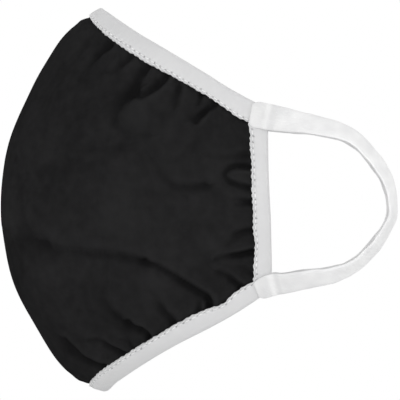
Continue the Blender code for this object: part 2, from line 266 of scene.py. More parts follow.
EDGE_TUCK, TUCK_REACH = 1.2 * MM, 6.0 * MM
CLOTH_TUCK_REACH = 4.5 * MM


def insets_at(across, up):
    """How far a point lies from the nose edge, the chin edge and the side edge."""
    from_nose = (1 - up) * up_rate(across, (1 + up) / 2)
    from_chin = up * up_rate(across, up / 2)
    from_side = (1 - across) * across_rate((1 + across) / 2, up)
    return from_nose, from_chin, from_side


def beyond_lips(across, up):
    """How far a point lies inside the lips of the nose, chin and side tapes: below 0 under them."""
    from_nose, from_chin, from_side = insets_at(across, up)
    nose, chin = from_table(NOSE_LIP, across), from_table(CHIN_LIP, across)
    return from_nose - nose, from_chin - chin, from_side - from_table(SIDE_LIP, up)


def skin(across, up, lift, reach=TUCK_REACH):
    """A point this far above the cloth. The nose and chin edges are drawn in by their tapes."""
    nose, chin, _ = beyond_lips(across, up)
    tuck = EDGE_TUCK * (1 - across) ** 2 * eased(1 - np.minimum(nose, chin) / reach)
    return surface(across, up) + normal(across, up) * np.asarray(lift - tuck)[..., None]


# %% [markdown]
# ## Folds in the cloth
# Knitted cloth that is gathered into tape falls into folds: long ones that run down from the cheek
# to the chin tape, and short ones that fan out of each seam. A cloth simulation would make folds of
# its own choosing, so these are listed one by one, where the real mask has them. Each fold below is a
# line in the side view: y and z in mm, in the model's own frame. It is a valley with a soft roll
# beside it, and it deepens or fades along its line, from the start strength to the end strength.

# %% The folds, as lines in the side view
# the valley's width and drop and the roll's height in mm, two strengths, and the line
Fold = namedtuple("Fold", "width drop roll start end line")
FOLDS = (
    # the long fold under the cheek, from the front to the chin tape
    Fold(2.2, 0.8, 0.3, 0.6, 0.8, (
        (-93.3, 14.8), (-92.6, 3.7), (-91.8, -4.4), (-89.3, -10.3), (-83.0, -15.9))),
    Fold(1.8, 1.1, 0.55, 0.6, 0.9, (
        (-83.0, -15.9), (-77.4, -18.5), (-68.2, -19.6), (-59.0, -20.3), (-51.6, -21.4),
        (-46.0, -22.5))),
    Fold(1.25, 2.1, 0.8, 0.55, 1.0, (
        (-46.0, -22.5), (-41.6, -24.4), (-36.8, -27.0), (-32.0, -29.9), (-27.5, -32.9),
        (-23.9, -35.1), (-22.0, -37.0), (-21.6, -39.5))),
    # folds that rise from the chin tape
    Fold(1.6, 1.3, 0.4, 0.3, 0.9, (
        (-60.4, -30.3), (-61.5, -35.1), (-60.1, -39.2), (-56.7, -42.9), (-52.3, -45.4))),
    Fold(1.0, 2.1, 0.8, 0.6, 1.0, ((-52.3, -45.4), (-48.6, -47.3), (-45.7, -48.8), (-44.2, -51.0))),
    Fold(1.4, 0.9, 0.3, 0.3, 0.5, (
        (-67.1, -41.4), (-63.4, -42.9), (-59.7, -45.1), (-56.0, -47.3), (-51.6, -48.4),
        (-47.9, -48.8))),
    Fold(1.0, 1.8, 0.7, 0.4, 1.0, (
        (-66.3, -52.1), (-62.7, -52.1), (-59.7, -53.9), (-56.7, -55.4), (-53.8, -56.9))),
    Fold(1.1, 2.0, 0.8, 0.4, 1.0, (
        (-76.3, -52.1), (-73.7, -54.7), (-70.0, -57.6), (-65.6, -59.9), (-60.4, -62.1))),
    Fold(1.4, 1.4, 0.6, 0.3, 1.0, ((-43.1, -34.4), (-41.2, -37.7), (-38.6, -41.4), (-35.3, -45.1))),
    Fold(1.1, 1.1, 0.3, 0.2, 1.0, ((-27.2, -35.5), (-25.7, -37.7), (-25.7, -40.3))),
    Fold(1.0, 1.0, 0.4, 0.4, 1.0, ((-53.8, -52.1), (-51.9, -53.2), (-50.5, -55.1))),
    # folds that fall from the nose tape
    Fold(1.3, 1.4, 0.5, 1.0, 0.3, (
        (-58.6, 57.6), (-62.7, 54.3), (-65.2, 51.7), (-67.8, 48.8), (-70.0, 45.1))),
    Fold(1.6, 0.7, 0.2, 0.8, 0.5, ((-67.1, 58.4), (-71.9, 52.5), (-75.2, 47.3), (-76.7, 44.3))),
    Fold(1.2, 1.2, 0.5, 1.0, 0.4, ((-50.8, 52.8), (-53.4, 51.0), (-56.4, 48.4), (-59.0, 47.3))),
    Fold(1.4, 1.25, 0.4, 1.0, 0.7, ((-44.2, 49.5), (-47.5, 46.2), (-49.0, 42.9), (-50.1, 39.2))),
    Fold(1.2, 1.7, 1.2, 0.8, 0.7, ((-37.9, 45.1), (-41.2, 42.1), (-44.2, 39.9), (-47.1, 38.1))),
    Fold(1.3, 1.4, 0.5, 0.9, 0.6, ((-33.1, 41.4), (-34.2, 38.1), (-34.6, 35.5))),
    Fold(0.95, 1.4, 0.4, 1.0, 0.6, ((-24.6, 39.5), (-25.3, 37.7), (-26.1, 35.5))),
    Fold(1.1, 1.6, 0.5, 0.8, 0.8, ((-19.8, 35.1), (-22.7, 33.3), (-25.0, 31.0), (-26.8, 28.8))),
    Fold(1.2, 0.9, 0.3, 0.8, 0.3, ((-23.9, 32.1), (-27.5, 30.3), (-32.0, 29.2), (-34.6, 29.6))),
    # the hollow round the cheek's bump, and the cheek's own line
    Fold(2.1, 1.15, 0.4, 0.9, 0.5, (
        (-49.3, 39.9), (-52.7, 37.3), (-55.3, 34.4), (-56.7, 30.7), (-55.3, 27.0),
        (-51.2, 24.8), (-45.7, 24.4))),
    Fold(1.5, 1.2, 0.5, 0.4, 0.7, (
        (-43.1, 14.8), (-41.2, 11.8), (-39.4, 8.9), (-34.9, 5.5), (-29.4, 4.8), (-23.9, 5.5))),
    # folds that run in from the side tape
    Fold(0.95, 1.4, 0.8, 0.9, 0.9, (
        (-7.2, 11.8), (-11.7, 12.2), (-15.0, 11.1), (-16.1, 8.9), (-14.2, 6.7), (-10.9, 5.5),
        (-7.6, 4.8))),
    Fold(1.6, 0.9, 0.3, 0.3, 1.0, ((-20.2, 15.9), (-14.6, 15.9), (-8.7, 16.6))),
    Fold(1.0, 1.1, 0.5, 0.3, 1.0, ((-12.4, 0.0), (-9.4, -0.4), (-6.5, -0.7))),
    Fold(1.3, 1.3, 0.5, 0.4, 0.9, (
        (-16.1, -17.7), (-13.9, -15.1), (-11.7, -12.6), (-9.1, -11.5), (-6.1, -11.1))),
    Fold(0.95, 2.0, 0.9, 0.4, 1.0, ((-19.4, -21.8), (-15.4, -20.7), (-10.9, -20.0), (-6.1, -18.8))),
    Fold(1.05, 1.7, 0.7, 0.5, 1.0, ((-18.3, -26.6), (-15.4, -28.1), (-13.1, -29.9), (-10.2, -32.1))),
    Fold(1.0, 0.8, 0.3, 0.3, 1.0, ((-11.7, -24.8), (-8.7, -25.9), (-6.1, -27.3))),
    Fold(1.6, 0.7, 0.2, 0.4, 0.9, ((-10.9, 23.6), (-9.1, 21.1), (-7.2, 19.2))),
    # the raised strip beside the centre seam, and broad soft hollows
    Fold(2.2, -0.8, 0.01, 0.6, 0.8, ((-96.5, 14.0), (-97.0, 4.0), (-96.8, -5.0), (-95.0, -12.0))),
    Fold(3.4, 0.9, 0.2, 0.6, 0.6, ((-84.8, 11.1), (-77.4, 12.6), (-70.0, 13.7))),
    Fold(2.3, 0.9, 0.2, 0.6, 0.6, ((-65.2, 18.5), (-59.0, 18.8), (-53.8, 20.3))),
    Fold(3.6, 0.9, 0.2, 0.8, 0.5, ((-93.7, -13.3), (-87.8, -17.7), (-81.1, -21.1))),
    Fold(4.0, 0.7, 0.2, 0.5, 0.9, ((-81.1, -43.6), (-77.4, -49.1), (-72.3, -53.9))),
    Fold(4.5, 0.7, 0.2, 0.8, 0.5, ((-40.5, 43.6), (-47.9, 40.6), (-55.3, 39.2))),
    Fold(3.2, 0.7, 0.2, 0.6, 0.6, ((-30.1, -11.8), (-26.4, -17.7), (-23.5, -23.6), (-20.5, -29.6))),
    Fold(3.0, 0.6, 0.2, 0.6, 0.6, ((-23.9, 6.7), (-20.5, 3.7), (-17.6, 0.7))),
    Fold(3.4, 0.6, 0.2, 0.6, 0.4, ((-20.2, 26.6), (-13.9, 25.9), (-8.0, 23.6))),
)
# y, z, width and rise in mm
CHEEK_BUMPS = (
    (-49.0, 32.1, 3.8, 1.3), (-41.6, 47.3, 1.8, 0.5), (-43.4, -31.0, 4.5, 0.9),
    (-20.5, -35.5, 2.0, 0.6), (-10.9, 9.2, 2.2, 0.6), (-55.3, -7.4, 14.0, 0.5),
)


def fold_relief(y, z):
    """How far the folds push the cloth out, in metres, at places of the side view in metres."""
    place = np.stack([y, z], axis=-1) / MM
    relief = np.zeros(y.shape)
    for fold in FOLDS:
        line = drawn_line(fold.line)
        way = np.gradient(line, axis=0)
        way = way / length_of(way)[:, None]
        gap = place[..., None, :] - line
        away = length_of(gap)
        nearest = away.argmin(axis=-1)
        share = nearest / (len(line) - 1)
        offset = np.take_along_axis(gap, nearest[..., None, None], axis=-2)[..., 0, :]
        ahead = way[nearest]
        beside = ahead[..., 0] * offset[..., 1] - ahead[..., 1] * offset[..., 0]
        away = away.min(axis=-1)
        side = np.where(beside >= 0, away, -away) * np.sign(fold.roll)
        strength = fold.start + (fold.end - fold.start) * eased(share)
        relief -= fold.drop * strength * hill(side, np.where(side > 0, 0.85, 1.5) * fold.width)
        relief += abs(fold.roll) * strength * hill(side - 1.8 * fold.width, 1.1 * fold.width)
    for bump_y, bump_z, wide, rise in CHEEK_BUMPS:
        relief += rise * hill(np.hypot(place[..., 0] - bump_y, place[..., 1] - bump_z), wide)
    return relief * MM


# %% [markdown]
# Between the long folds the whole cloth ripples a little where it is gathered into each tape. A sum
# of a few waves of different lengths along the edge makes such ripples: they are strongest at the
# stitches, and die out over a centimetre. Each half of the mask gets its own set of waves, because
# no two sides of a sewn thing pucker alike. The cloth also rolls up softly along each lip, sinks at
# the centre seam with a puff beside it, and swells a little down the front.

# %% Ripples along the tapes
RIPPLE_WAVES = ((7.3, 1.0), (4.9, 0.7), (11.0, 0.6), (3.1, 0.35))
RIPPLE_HEIGHT, RIPPLE_REACH = 0.30 * MM, 6.0 * MM


def waves(distance, seed):
    """An uneven wave of about unit height along a distance in metres."""
    phases = np.random.default_rng(seed).uniform(0, 2 * pi, len(RIPPLE_WAVES))
    total = sum(
        height * np.sin(2 * pi * distance / (length * MM) + phase)
        for (length, height), phase in zip(RIPPLE_WAVES, phases)
    )
    return total / 1.4


def ripples(points, lips, seed):
    """Ripples that start at each tape's lip and fade into the cloth."""
    relief = np.zeros(points.shape[:-1])
    runs = (points[..., 1], points[..., 1], points[..., 2])
    for k, (run, inside) in enumerate(zip(runs, lips)):
        relief += RIPPLE_HEIGHT * waves(run * 1.15, seed + k) * hill(inside - 1.5 * MM, RIPPLE_REACH)
    return relief


SEAM_GROOVE, SEAM_PUFF = 0.45 * MM, 0.30 * MM
LIP_ROLL, SLOW_SWELL = 0.35 * MM, 0.25 * MM
# height on the centre seam, reach and rise in mm
FRONT_SWELLS = (
    (60.0, 6.0, 0.75), (38.0, 7.0, -0.30), (20.4, 8.0, 0.40), (-29.6, 9.0, 0.40), (-47.0, 8.0, -0.45),
    (-61.0, 6.0, 0.40),
)


def cloth_relief(across, up, seed):
    """All that lifts or lowers the cloth from the smooth surface, and the folds' share of it."""
    points = surface(across, up)
    x, y, z = np.moveaxis(points, -1, 0)
    lips = beyond_lips(across, up)
    inside = np.minimum(np.minimum(lips[0], lips[1]), lips[2])
    folds = fold_relief(y, z) * eased(x / (6 * MM))
    slow = SLOW_SWELL * np.sin(y * 90 + seed) * np.sin(z * 75 + 2 * seed) * eased(x / (8 * MM))
    relief = folds + slow + ripples(points, lips, seed) * eased(x / (4 * MM))
    relief = relief + LIP_ROLL * hill(inside - 1.2 * MM, 1.2 * MM)
    relief = relief * eased((inside + 0.6 * MM) / (1.0 * MM))
    for height, reach, rise in FRONT_SWELLS:
        relief += rise * MM * hill(z / MM - height, reach) * hill(x, 22 * MM)
    seam = SEAM_PUFF * hill(x - 2.2 * MM, 1.5 * MM) - SEAM_GROOVE * hill(x, 0.6 * MM)
    return relief + seam, folds


# %% [markdown]
# ## Meshes from rows of points
# Each piece is a block of points with neighbours in two directions, so one helper joins them into
# quads. It also stores, as a UV map called "cut", where each point lies on the uncut cloth or tape,
# in mm. Knit and weave are drawn on that map, so they follow the cloth round every bend. The cloth
# has a second map, "folds", that tells how deep in a fold each point lies.

# %% Mesh helpers
def quad_corners(block):
    """The four corners of each quad between neighbours in a block of rows."""
    return np.stack([block[:-1, :-1], block[:-1, 1:], block[1:, 1:], block[1:, :-1]], axis=2)


def quads_between(number):
    """Quads between neighbours in a block of point numbers."""
    return quad_corners(number).reshape(-1, 4)


def closed_round(number):
    """The same block with its first column again at the end, so that each row closes to a ring."""
    return np.concatenate([number, number[:, :1]], axis=1)


def add_piece(name, points, faces, cut, finish, flip=False, pressed=None):
    """Makes a smooth closed object. cut gives each face corner's place on the flat cloth, in mm,
    and pressed, where there is one, how far each corner lies down in a fold."""
    points = np.array(points, float)
    if flip:
        points = points * np.array([-1.0, 1.0, 1.0])
    mesh = bpy.data.meshes.new(name)
    mesh.from_pydata(points.tolist(), [], faces)
    cut_map = mesh.uv_layers.new(name="cut")
    cut_map.uv.foreach_set("vector", np.asarray(cut, np.float32).ravel())
    if pressed is not None:
        fold_map = mesh.uv_layers.new(name="folds")
        fold_map.uv.foreach_set("vector", np.repeat(pressed, 2).astype(np.float32))
    shaped = bmesh.new()
    shaped.from_mesh(mesh)
    bmesh.ops.recalc_face_normals(shaped, faces=shaped.faces)
    shaped.to_mesh(mesh)
    shaped.free()
    mesh.shade_smooth()
    mesh.materials.append(finish.material)
    piece = bpy.data.objects.new(name, mesh)
    bpy.context.scene.collection.objects.link(piece)
    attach(piece, "root")
    return piece


def add_tube(name, rings, along, around, finish, flip=False):
    """Skins rings of points into a closed tube. along and around are the places on the flat tape."""
    rings = np.array(rings)
    count, size = rings.shape[:2]
    number = np.arange(count * size).reshape(count, size)
    faces = quads_between(closed_round(number)).tolist() + [number[0].tolist(), number[-1].tolist()]
    around = np.concatenate([around, around[-1:] + 0.5])
    flat = np.stack(np.broadcast_arrays(np.asarray(along)[:, None], around), axis=-1) / MM
    cut = np.concatenate([quad_corners(flat).reshape(-1, 2), flat[0, :-1], flat[-1, :-1]])
    return add_piece(name, rings.reshape(-1, 3), faces, cut, finish, flip)


# %% [markdown]
# ## Writing shaders as sums
# A finish is a tree of nodes, and most of its nodes are plain arithmetic. The small class below
# wraps a socket, so that 1 - mask or height * 0.5 can be written as they are in a sum and each
# operator adds its Math node. Finish makes the material, and its node() adds any other node.

# %% Sockets that add and multiply
class Signal:
    """A socket that carries a number, a vector or a colour."""

    def __init__(self, finish, socket):
        self.finish = finish
        self.socket = socket

    def maths(self, operation, *values):
        return self.finish.node("ShaderNodeMath", {"operation": operation}, dict(enumerate(values)))

    def __add__(self, other):
        return self.maths("ADD", self, other)

    def __sub__(self, other):
        return self.maths("SUBTRACT", self, other)

    def __rsub__(self, other):
        return self.maths("SUBTRACT", other, self)

    def __mul__(self, other):
        return self.maths("MULTIPLY", self, other)

    def __truediv__(self, other):
        return self.maths("DIVIDE", self, other)

    __radd__ = __add__
    __rmul__ = __mul__

    def wave(self):
        """A soft wave between 0 and 1, with a crest at each whole number."""
        return 0.5 + 0.5 * self.maths("COSINE", self * (2 * pi))

    def size(self):
        return self.maths("ABSOLUTE", self)

    def from_whole(self):
        """How far a number lies from the nearest whole number: 0 to 0.5."""
        return self.maths("PINGPONG", self, 0.5)

    def step_down(self, low, high):
        """1 below low, 0 above high, and smooth between."""
        settings = {"interpolation_type": "SMOOTHSTEP"}
        return self.finish.node(
            "ShaderNodeMapRange",
            settings,
            {"Value": self, "From Min": low, "From Max": high, "To Min": 1.0, "To Max": 0.0},
        )


class Finish:
    """A material with one Principled shader."""

    def __init__(self, name, slot, **constants):
        self.slot = slot
        self.material = bpy.data.materials.new(name)
        self.material.use_nodes = True
        self.tree = self.material.node_tree
        self.shader = self.tree.nodes["Principled BSDF"]
        for socket, value in constants.items():
            self.shader.inputs[socket.replace("_", " ")].default_value = value

    def feed(self, socket, value):
        if isinstance(value, Signal):
            self.tree.links.new(value.socket, socket)
        else:
            socket.default_value = value

    def node(self, kind, settings=None, values=None, output=0):
        made = self.tree.nodes.new(kind)
        for setting, value in (settings or {}).items():
            setattr(made, setting, value)
        for socket, value in (values or {}).items():
            self.feed(made.inputs[socket], value)
        return Signal(self, made.outputs[output])

    def mix(self, factor, first, second):
        """One colour blended into another."""
        values = {0: factor, 6: first, 7: second}
        return self.node("ShaderNodeMix", {"data_type": "RGBA"}, values, output=2)

    def noise(self, scale, detail=3.0):
        """Noise through space, about 0.5. scale counts its lumps in a metre."""
        place = self.node("ShaderNodeTexCoord", output=3)
        values = {"Vector": place, "Scale": scale, "Detail": detail}
        return self.node("ShaderNodeTexNoise", None, values)

    def map_place(self, uv_map):
        """The two numbers that a UV map stores for a place on the surface."""
        place = self.node("ShaderNodeUVMap", {"uv_map": uv_map})
        parts = self.tree.nodes.new("ShaderNodeSeparateXYZ")
        self.feed(parts.inputs[0], place)
        return Signal(self, parts.outputs[0]), Signal(self, parts.outputs[1])

    def finish_with(self, colour, roughness, height, depth):
        """Feeds what varies: the colour, the roughness, and a bump from a height in 0 to 1."""
        values = {"Height": height, "Distance": depth, "Strength": 1.0}
        bump = self.node("ShaderNodeBump", None, values)
        self.feed(self.shader.inputs["Base Color"], colour)
        self.feed(self.shader.inputs["Roughness"], roughness)
        self.feed(self.shader.inputs["Normal"], bump)
        print(self.material.name, "has", len(self.tree.nodes), "nodes")


def tint(level, blue=0.0):
    """A near-grey colour: red and green at this level, and blue this much above it."""
    return level, level, level + blue, 1.0


# %% [markdown]
# ## Black jersey
# The cloth is a fine black knit. Its face shows columns of small V-shaped stitches, about two to a
# millimetre each way. The V is drawn by shifting each column's rows by how far a point lies from
# the column's middle. A black dye still reflects one or two per cent, unevenly, so soft noise in
# three sizes mottles it. Its fibres are matt, so the shader's mirror part is off. The "folds" map
# paints light and shade into the colour: a painted highlight makes the ridges of the folds a little
# paler, and painted shade makes their valleys a little darker.

# %% The cloth's finish
COLUMNS_A_MM, ROWS_A_MM = 1.9, 2.3

jersey = Finish("black_jersey", "black_jersey", Specular_IOR_Level=0.0, Roughness=0.9)
jersey_u, jersey_v = jersey.map_place("cut")
column = (jersey_u * COLUMNS_A_MM).from_whole() * 2
stitch = (jersey_v * ROWS_A_MM + column * 0.8).wave()
leg = 1 - (column * 2 - 1).size() * 0.6
knit = stitch * leg
cloudy = jersey.noise(45.0)
patchy = jersey.noise(260.0, 4.0)
fuzz = jersey.noise(2200.0, 2.0)
nap = knit * 0.2 + (cloudy * 2.4 - 0.7) * 0.35 + (patchy * 2.0 - 0.5) * 0.35 + fuzz * 0.1
fold_depth = jersey.map_place("folds")[0]
# Painted light from the folds map: a painted highlight on fold ridges, painted shade in fold valleys.
painted_ridge_highlight = fold_depth.step_down(0.15, 0.48)
painted_valley_shade = 1 - fold_depth.step_down(0.52, 1.0)
flat_black = jersey.mix(nap, tint(0.0092, 0.0003), (0.0240, 0.0238, 0.0243, 1))
black_with_painted_highlight = jersey.mix(painted_ridge_highlight * 0.4, flat_black, tint(0.024, 0.0005))
jersey_colour = jersey.mix(painted_valley_shade * 0.6, black_with_painted_highlight, tint(0.003, 0.0002))
jersey.finish_with(jersey_colour, 0.8 + cloudy * 0.15, knit * 0.6 + fuzz * 0.4, 0.00012)

# %% [markdown]
# ## White tape
# The edges are bound with thin white cloth tape, folded in half over the edge. It is a plain tight
# weave, so it shows fine threads both ways. The needle leaves two rows of small holes near its inner
# edge, dark because black cloth lies underneath. The main row is clear, and the finer one lies nearer
# the lip, half a stitch along. The tape's own place in mm finds a hole: near a whole number of
# stitches along it, and near its row. A little noise moves the holes off their places and wears them.

# %% The tape's finish
STITCH = 2.7 * MM
WARP_A_MM, WEFT_A_MM = 3.1, 3.4
LIP_HOLES_BEYOND = 0.95

tape_finish = Finish(
    "white_tape", "white_binding", Sheen_Weight=0.5, Sheen_Roughness=0.35, Specular_IOR_Level=0.3
)
tape_u, tape_v = tape_finish.map_place("cut")
weave = (tape_u * WARP_A_MM).wave() * 0.5 + (tape_v * WEFT_A_MM).wave() * 0.5
tape_cloud = tape_finish.noise(60.0)
worn = tape_finish.noise(420.0, 1.0)
strayed_u = tape_u + (worn - 0.5) * 1.6
strayed_v = tape_v + (tape_finish.noise(300.0, 1.0) - 0.5) * 1.8


def hole_row(shift, beyond, inner, outer):
    """1 in the holes of a row this many mm beyond the main one, and 0 away from them."""
    along = (strayed_u / (STITCH / MM) + shift).from_whole() * (STITCH / MM)
    across = strayed_v + beyond
    return (along * along + across * across).step_down(inner, outer)


hole = hole_row(0.0, 0.0, 0.02, 0.22) * (worn * 2.2 - 0.4)
hole = hole + hole_row(0.5, LIP_HOLES_BEYOND, 0.01, 0.12) * (worn * 1.6 - 0.35) * 0.5
seam_shade = tape_v.step_down(-0.4, 0.9)
tape_tone = tape_finish.mix(weave * 0.3 + tape_cloud * 0.7, tint(0.635, 0.01), tint(0.715))
tape_shaded = tape_finish.mix(seam_shade * 0.12, tape_tone, tint(0.52, 0.01))
tape_colour = tape_finish.mix(hole * 0.52, tape_shaded, tint(0.10, 0.005))
tape_finish.finish_with(tape_colour, 0.78 + tape_cloud * 0.15, weave * 0.5 + (1 - hole) * 0.5, 0.00016)

# %% [markdown]
# ## Ear tape and thread
# The ear loops are a softer, brighter knit, with fine ribs along their length that stretch. They
# are greyer towards their sewn ends, and blotchy there. Where a loop bends over the mask's edge, a
# pale painted highlight lies across it, with a band of painted shade in the dip just beyond. The
# sewing thread is white too, with the twist of its plies as slanted lines.

# %% The loops' and the thread's finishes
# how far from the loop's middle it bends over the mask's edge
TURN_AT = 61.2 * MM
RIBS_A_MM, RUNGS_A_MM = 1.6, 3.1

loop_tape = Finish(
    "soft_white_loop", "white_loop_tape", Sheen_Weight=0.4, Sheen_Roughness=0.4, Specular_IOR_Level=0.3
)
loop_u, loop_v = loop_tape.map_place("cut")
rib = loop_v * RIBS_A_MM
rungs = (loop_u * RUNGS_A_MM + rib.from_whole()).wave()
loop_knit = rib.wave() * 0.65 + rungs * 0.35
loop_cloud = loop_tape.noise(150.0, 1.0)
loop_tone = loop_knit * 0.15 + (loop_cloud * 3.0 - 1.0) * 0.85
sewn_grey = loop_tape.mix(loop_tone, tint(0.66, 0.005), tint(0.76))
free_white = loop_tape.mix(loop_tone, tint(0.81, 0.005), tint(0.89))
plain_loop = loop_tape.mix(loop_u.size().step_down(34, 66), sewn_grey, free_white)
from_turn = loop_u.size() - TURN_AT / MM
# Painted light where the loop bends over the edge: a painted highlight, and painted shade in the dip
# beyond.
painted_bend_highlight = from_turn.size().step_down(0.1, 1.5)
painted_dip_shade = (from_turn + 2.4).size().step_down(0.4, 1.6)
loop_with_painted_dip_shade = loop_tape.mix(painted_dip_shade * 0.5, plain_loop, tint(0.66, 0.005))
loop_colour = loop_tape.mix(painted_bend_highlight * 0.45, loop_with_painted_dip_shade, tint(0.86))
loop_tape.finish_with(loop_colour, 0.8 + loop_cloud * 0.12, loop_knit, 0.00007)

thread = Finish("white_thread", "white_binding", Specular_IOR_Level=0.4)
thread_u, thread_v = thread.map_place("cut")
plies = (thread_u * 1.6 + thread_v * 0.8).wave()
thread_colour = thread.mix(plies, tint(0.80), tint(0.94))
thread.finish_with(thread_colour, 0.55 + plies * 0.15, plies, 0.00006)


# %% [markdown]
# ## The two cloth panels
# Each panel is a fine block of points on the surface, lifted by its folds and ripples, and a second
# block a cloth's thickness behind it. A Solidify modifier would do the same, but the inner face
# should stay a little smoother than the outer one, so it takes nine tenths of the relief.

# %% Cloth panels
PANEL_COLUMNS, PANEL_ROWS = 186, 190
INNER_SHARE = 0.9
# extra rows of points at these distances past a lip, and from the centre seam
LIP_STEPS = np.array([-0.9, -0.4, 0.0, 0.4, 0.8, 1.3, 1.9]) * MM
SEAM_STEPS = np.array([-0.06, 0.35, 0.7, 1.1, 1.6, 2.2, 2.9]) * MM


def panel_grid():
    """Shares for a block of points, finer at the seam and at each tape's lip."""
    cloth_inset = TAPE + 2 * GAP
    lip_rows = len(LIP_STEPS)
    shares = np.linspace(0, 1, PANEL_ROWS + 2 * lip_rows)[:, None]
    guess = 0.10 + 0.80 * shares
    half_width, breadth = section_at(guess)[:2]
    seam = SEAM_STEPS / (3 * breadth * half_width)
    side = inside_side_edge(guess, from_table(SIDE_LIP, guess) + LIP_STEPS[::-1])
    edge = inside_side_edge(guess, cloth_inset)
    inner = np.linspace(0, 1, PANEL_COLUMNS)[1:-1]
    inner = inner * (1 + 0.35 * (1 - inner))
    middle = seam[:, -1:] + (side[:, :1] - seam[:, -1:]) * inner
    across = np.concatenate([seam, middle, side, edge], axis=1)
    low = above_chin_edge(across, from_table(CHIN_LIP, across) + LIP_STEPS[-1])
    high = below_nose_edge(across, from_table(NOSE_LIP, across) + LIP_STEPS[-1])
    inner = (np.arange(len(shares)) - lip_rows) / (PANEL_ROWS - 1)
    up = low + (high - low) * inner[:, None]
    for k, step in enumerate(LIP_STEPS):
        up[k + 1] = above_chin_edge(across[k + 1], from_table(CHIN_LIP, across[k + 1]) + step)
        up[-k - 2] = below_nose_edge(across[-k - 2], from_table(NOSE_LIP, across[-k - 2]) + step)
    up[0] = above_chin_edge(across[0], cloth_inset)
    up[-1] = below_nose_edge(across[-1], cloth_inset)
    return across, up


def travelled(points, axis):
    """Distance run along the points, in mm."""
    steps = length_of(np.diff(points, axis=axis)) / MM
    start = np.zeros_like(np.take(steps, [0], axis=axis))
    return np.concatenate([start, np.cumsum(steps, axis=axis)], axis=axis)


def add_panel(name, node, seed, flip):
    """One half: an outer face, an inner face behind it, and a rim that joins them."""
    across, up = panel_grid()
    relief, folds = cloth_relief(across, up, seed)
    outer = skin(across, up, relief, CLOTH_TUCK_REACH)
    inner = skin(across, up, INNER_SHARE * relief - CLOTH, CLOTH_TUCK_REACH)
    count = across.size
    number = np.arange(count).reshape(across.shape)
    rim = np.concatenate([number[0], number[1:, -1], number[-1, -2::-1], number[-2:0:-1, 0]])
    after = np.roll(rim, -1)
    faces = np.concatenate([
        quads_between(number),
        quads_between(number + count)[:, ::-1],
        np.stack([after, rim, rim + count, after + count], axis=-1),
    ])
    flat = np.stack([travelled(outer, 1), travelled(outer, 0)], axis=-1).reshape(-1, 2)
    cut = np.concatenate([flat, flat])[faces.ravel()]
    points = np.concatenate([outer.reshape(-1, 3), inner.reshape(-1, 3)])
    pressed = 0.5 - 0.5 * np.tanh(folds / (1.2 * MM)).ravel()
    pressed = np.concatenate([pressed, pressed])[faces.ravel()]
    piece = add_piece(name, points, faces.tolist(), cut, jersey, flip, pressed)
    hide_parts(node)


add_panel("cloth_left", "panel_left", 11, False)
add_panel("cloth_right", "panel_right", 37, True)


# %% [markdown]
# ## The folded tapes
# A tape cut across is a C that grips the cloth: a soft fold round the edge, a face on each side, and
# a turned-in lip where the stitches run. The section is drawn as pairs of inset and height, and
# swept along the edge. Along the way the stitches pull it in at each hole, so it puckers between
# them, and the lip wanders a little, as a hand-guided edge does.

# %% The tape's section
TapeRun = namedtuple("TapeRun", "share_at row lip reach stitch seed")
NOSE_TAPE = TapeRun(below_nose_edge, NOSE_ROW, NOSE_LIP, NOSE_REACH, 2.6 * MM, 3)
CHIN_TAPE = TapeRun(above_chin_edge, CHIN_ROW, CHIN_LIP, CHIN_REACH, 2.8 * MM, 8)
LIP_FACE = ((1.0, 0.10), (1.03, 0.38), (0.97, 0.78), (0.78, 1.08), (0.4, 1.22), (0.15, 1.22))
ROW_FACE = ((0.0, 1.16), (-0.35, 1.25), (-0.9, 1.31), (-2.0, 1.33))
FOLD_FACE = ((1.7, 1.27), (1.0, 1.15), (0.45, 0.87), (0.12, 0.45))
NOMINAL_LIP, ROW_TO_LIP = 1.5 * MM, 0.9 * MM
DRAWN_IN, HOLE_PULL, LIP_PLEAT, FACE_PLEAT, FACE_SWELL = np.array([0.13, 0.30, 0.06, 0.03, 0.09]) * MM


def behind(points):
    """The same points on the tape's other face, the last first."""
    return [(inset, share, -CLOTH / MM - height) for inset, share, height in reversed(points)]


def tape_section(row):
    """Round the folded tape: the inset if the lip lay on the row, the share of the way from the row
    to the lip, the height above the cloth's face, and 1 on the outer face, -1 on the inner one."""
    face = [(row, share, height) for share, height in LIP_FACE]
    face += [(row + beyond * MM, 0, height) for beyond, height in ROW_FACE]
    face += [(inset * MM, 0, height) for inset, height in FOLD_FACE]
    fold = [(0.0, 0, -CLOTH / MM / 2)]
    slot = [(TAPE, 0, 0.05), (row, 0.8, 0.05)]
    inset, share, height = np.array(face + fold + behind(face) + behind(slot) + slot).T
    sides = np.concatenate([np.ones(len(face)), [0], -np.ones(len(face)), np.zeros(4)])
    return inset, share, height * MM, sides


def lip_inset(tape, where, run):
    """The lip's inset, drawn in a little at each stitch and straying as a hand-guided edge does."""
    drawn_in = DRAWN_IN * np.cos(2 * pi * run / tape.stitch)
    stray = 0.10 * MM * waves(run * 0.9, tape.seed + 5) + 0.05 * MM * waves(run * 4, tape.seed + 6)
    return from_table(tape.lip, where) - drawn_in + stray


def row_inset(tape, where):
    """The row's inset: straight, but never nearer the lip than a needle is set."""
    return np.minimum(tape.row, from_table(tape.lip, where) - ROW_TO_LIP)


def pucker(tape, run, from_row):
    """Height changes of a tape's face: pulled in at the holes, full between them."""
    from_hole = np.abs((run / tape.stitch + 0.5) % 1 - 0.5) * tape.stitch
    pull = HOLE_PULL * hill(from_hole, 0.45 * MM) * hill(from_row, 0.5 * MM)
    beat = np.cos(2 * pi * run / tape.stitch)
    near_lip, on_face = from_row - 0.9 * MM, from_row + 1.8 * MM
    pleats = LIP_PLEAT * hill(near_lip, 0.8 * MM) + FACE_PLEAT * hill(on_face, 1.5 * MM)
    from_fold = np.clip((from_row + tape.row) / tape.row, 0, 1)
    slow = FACE_SWELL * waves(run * 0.6, tape.seed) * from_fold
    return slow - pull - beat * pleats


